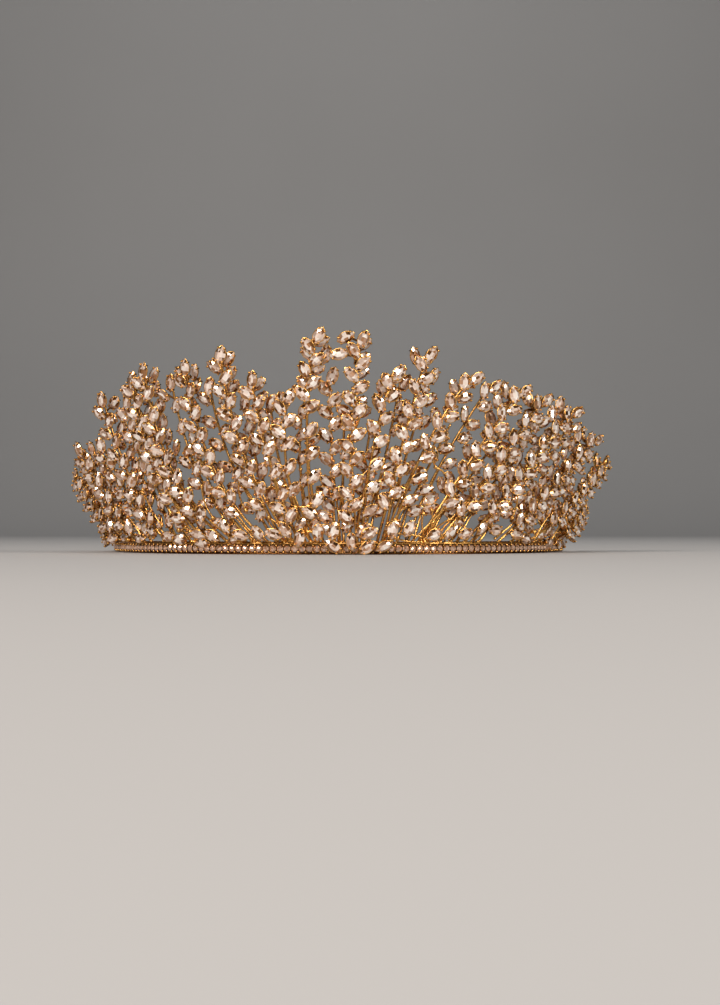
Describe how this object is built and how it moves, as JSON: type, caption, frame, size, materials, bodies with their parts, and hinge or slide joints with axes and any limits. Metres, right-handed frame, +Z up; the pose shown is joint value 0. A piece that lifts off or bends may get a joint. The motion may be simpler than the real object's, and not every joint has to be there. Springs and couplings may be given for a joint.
{
  "type": "engagement tiara",
  "caption": "Bridal tiara: a gold band, open at the back, set with a row of small round stones, carries fanned sprigs of marquise stones that rise from its upper edge.",
  "frame": {"origin": "middle of the band's circle, in the plane of its lower edge, where the tiara sits on the head or rests on a table", "axes": "+Z up, from the band to the tips of the sprigs; the front of the tiara faces -Y and its open back faces +Y; +X runs to the right of someone who looks at the front"},
  "size_m": [0.17, 0.1332, 0.0605],
  "materials": {
    "gold": "polished",
    "crystal": "faceted and polished"
  },
  "bodies": {
    "root": {"frame": "gold", "stones": "crystal"}
  },
  "joints": []
}
